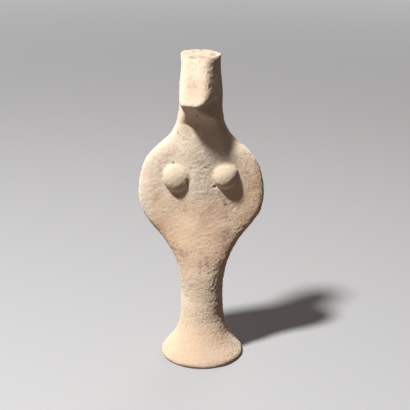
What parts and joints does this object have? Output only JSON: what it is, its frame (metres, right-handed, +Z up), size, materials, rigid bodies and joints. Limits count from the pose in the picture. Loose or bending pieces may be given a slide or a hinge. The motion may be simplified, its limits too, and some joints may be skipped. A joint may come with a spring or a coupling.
{
  "type": "terracotta phi figurine",
  "caption": "Standing schematic clay figurine: flared round foot, stem, flat disc body with pressed pellets, and a pinched featureless face under a flat-topped cap.",
  "frame": {"origin": "centre of the flat underside that the figurine stands on", "axes": "+Z up the figurine from its foot to its head; the figure faces -Y and +X is towards its left shoulder"},
  "size_m": [0.0432, 0.0286, 0.11],
  "materials": {
    "terracotta": "unglazed fired clay, buff, matt and gritty, with faded purplish-brown traces of paint"
  },
  "bodies": {
    "root": {"figurine": "terracotta"}
  },
  "joints": []
}
